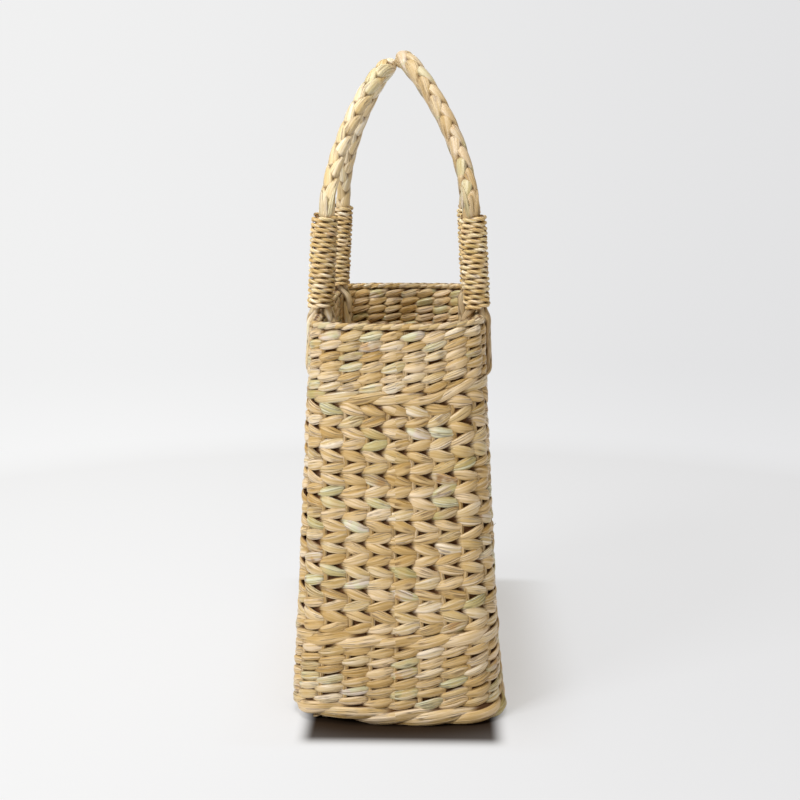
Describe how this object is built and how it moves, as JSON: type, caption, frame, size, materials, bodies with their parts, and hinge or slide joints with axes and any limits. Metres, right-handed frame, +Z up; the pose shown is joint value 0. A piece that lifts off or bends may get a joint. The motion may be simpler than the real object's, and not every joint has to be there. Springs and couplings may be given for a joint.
{
  "type": "magazine basket",
  "caption": "Tall narrow hand-woven basket with a tapered twined wall, rope courses and plaited handles lashed with cord, for magazines and papers.",
  "frame": {"origin": "on the floor under the middle of the base", "axes": "+X across the narrow ends, +Y along the long sides, +Z up"},
  "size_m": [0.1924, 0.4038, 0.5899],
  "materials": {
    "weave": "dried leaf, satin, twined in rows",
    "rope": "dried leaf, satin, twisted in strands",
    "plait": "paler dried leaf, satin, plaited",
    "cord": "two-ply twisted leaf cord, matte"
  },
  "bodies": {
    "basket": {"base_mat": "weave", "foot_rope": "rope", "lower_band": "weave", "lower_rope": "rope", "middle_band": "weave", "upper_rope": "rope", "upper_band": "weave", "rim_border": "rope", "wall_loop_right_near": "plait", "wall_loop_right_far": "plait", "wall_loop_left_near": "plait", "wall_loop_left_far": "plait"},
    "handle_right": {"handle_plait_right": "plait", "leg_tail_right_near": "plait", "leg_tail_right_far": "plait", "lashing_right_near": "cord", "lashing_right_far": "cord"},
    "handle_left": {"handle_plait_left": "plait", "leg_tail_left_near": "plait", "leg_tail_left_far": "plait", "lashing_left_near": "cord", "lashing_left_far": "cord"}
  },
  "joints": [
    {"name": "handle_right_swing", "type": "hinge", "parent": "basket", "child": "handle_right", "pos_m": [0.07, 0, 0.3556], "axis": [0, 1, 0], "range_deg": [0, 50]},
    {"name": "handle_left_swing", "type": "hinge", "parent": "basket", "child": "handle_left", "pos_m": [-0.07, 0, 0.3556], "axis": [0, -1, 0], "range_deg": [0, 50]}
  ]
}
